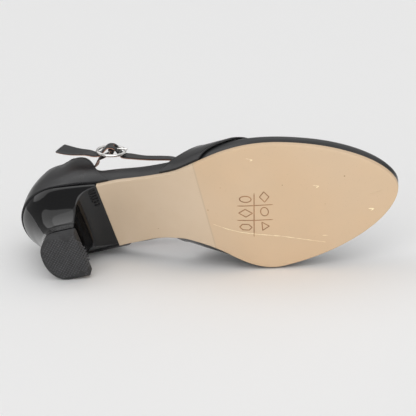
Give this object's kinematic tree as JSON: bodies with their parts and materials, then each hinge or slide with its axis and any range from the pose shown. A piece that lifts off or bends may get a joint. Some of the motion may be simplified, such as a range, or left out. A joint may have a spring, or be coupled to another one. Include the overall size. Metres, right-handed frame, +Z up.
{
  "type": "dance shoe",
  "caption": "Low-heeled closed-toe leather dance shoe with crossed bands over a V throat, a closed counter and a buckled ankle strap, lying on its side.",
  "frame": {"origin": "middle of the laid shoe's outline in plan, on the surface it lies on", "axes": "+X from the heel to the toe along the laid shoe, -Y to the side where the sole looks, +Z up, to the shoe's outer side"},
  "size_m": [0.2346, 0.0946, 0.0822],
  "materials": {
    "sole_leather": "smooth natural sole leather",
    "heel_lacquer": "high gloss lacquer",
    "lift_rubber": "matt, fine diamond tread",
    "lining": "undyed lining leather",
    "black_leather": "satin, finely grained",
    "steel": "polished"
  },
  "bodies": {
    "root": {"outsole": "sole_leather", "heel": "heel_lacquer", "top_lift": "lift_rubber", "insole": "lining", "upper": "black_leather", "counter": "black_leather", "band_lateral": "black_leather", "band_medial": "black_leather", "strap_front": "black_leather", "strap_back": "black_leather", "buckle": "steel", "buckle_prong": "steel"}
  },
  "joints": []
}
